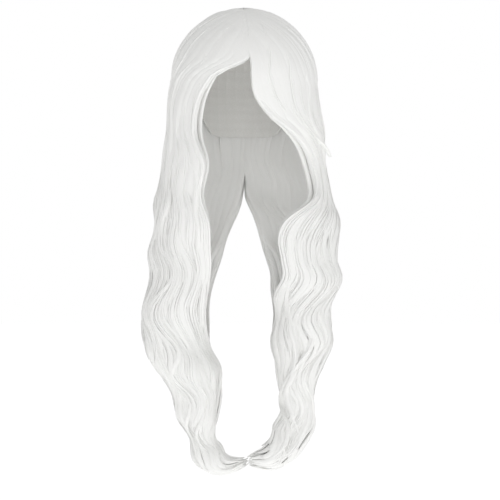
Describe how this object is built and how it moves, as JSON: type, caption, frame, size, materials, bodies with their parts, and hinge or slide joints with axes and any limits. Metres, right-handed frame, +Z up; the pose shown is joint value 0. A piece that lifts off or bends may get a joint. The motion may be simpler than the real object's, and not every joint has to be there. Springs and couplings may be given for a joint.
{
  "type": "long wavy wig",
  "caption": "Long wavy white wig with swept bangs that part over an open face, side and back hair gathering into two tresses that curl inward at the tips, on a thin open head cap.",
  "frame": {"origin": "where the top of the wearer's head touches the inside of the cap", "axes": "+Z up, -Y the way the wearer's face looks, +X to the right as seen from in front of the face"},
  "size_m": [0.2729, 0.2209, 0.6265],
  "materials": {
    "hair": "soft satin synthetic hair, near white",
    "cap": "matt woven net and bands"
  },
  "bodies": {
    "root": {"wig_cap": "cap", "bangs_left": "hair", "bangs_right": "hair", "side_hair_left": "hair", "side_hair_right": "hair", "back_hair_left": "hair", "back_hair_right": "hair"}
  },
  "joints": []
}
